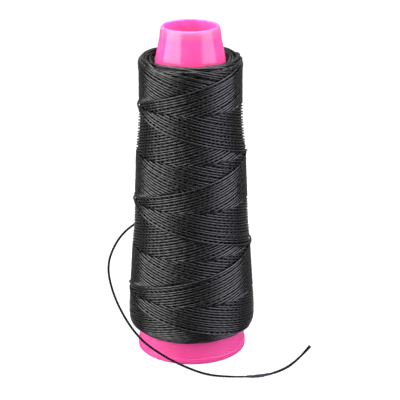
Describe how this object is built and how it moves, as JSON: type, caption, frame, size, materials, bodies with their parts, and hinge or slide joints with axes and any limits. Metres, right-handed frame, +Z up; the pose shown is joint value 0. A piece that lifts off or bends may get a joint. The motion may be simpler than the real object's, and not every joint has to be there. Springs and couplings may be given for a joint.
{
  "type": "waxed thread spool",
  "caption": "Cone spool of waxed sewing thread: a hollow moulded core, open at both ends, with a cross-wound thread package and a free thread tail.",
  "frame": {"origin": "centre of the circle that the foot stands on", "axes": "+Z up along the core's axis, from the foot to the nose; the free tail leaves at the back left (-X, +Y) and ends at the front right (+X, -Y)"},
  "size_m": [0.0803, 0.0578, 0.13],
  "materials": {
    "core_plastic": "glossy moulded polypropylene",
    "thread": "black twisted polyester, waxed, semi-gloss"
  },
  "bodies": {
    "root": {"spool_core": "core_plastic", "anchor_turns": "thread", "inner_winding": "thread", "outer_winding": "thread", "thread_tail": "thread"}
  },
  "joints": []
}
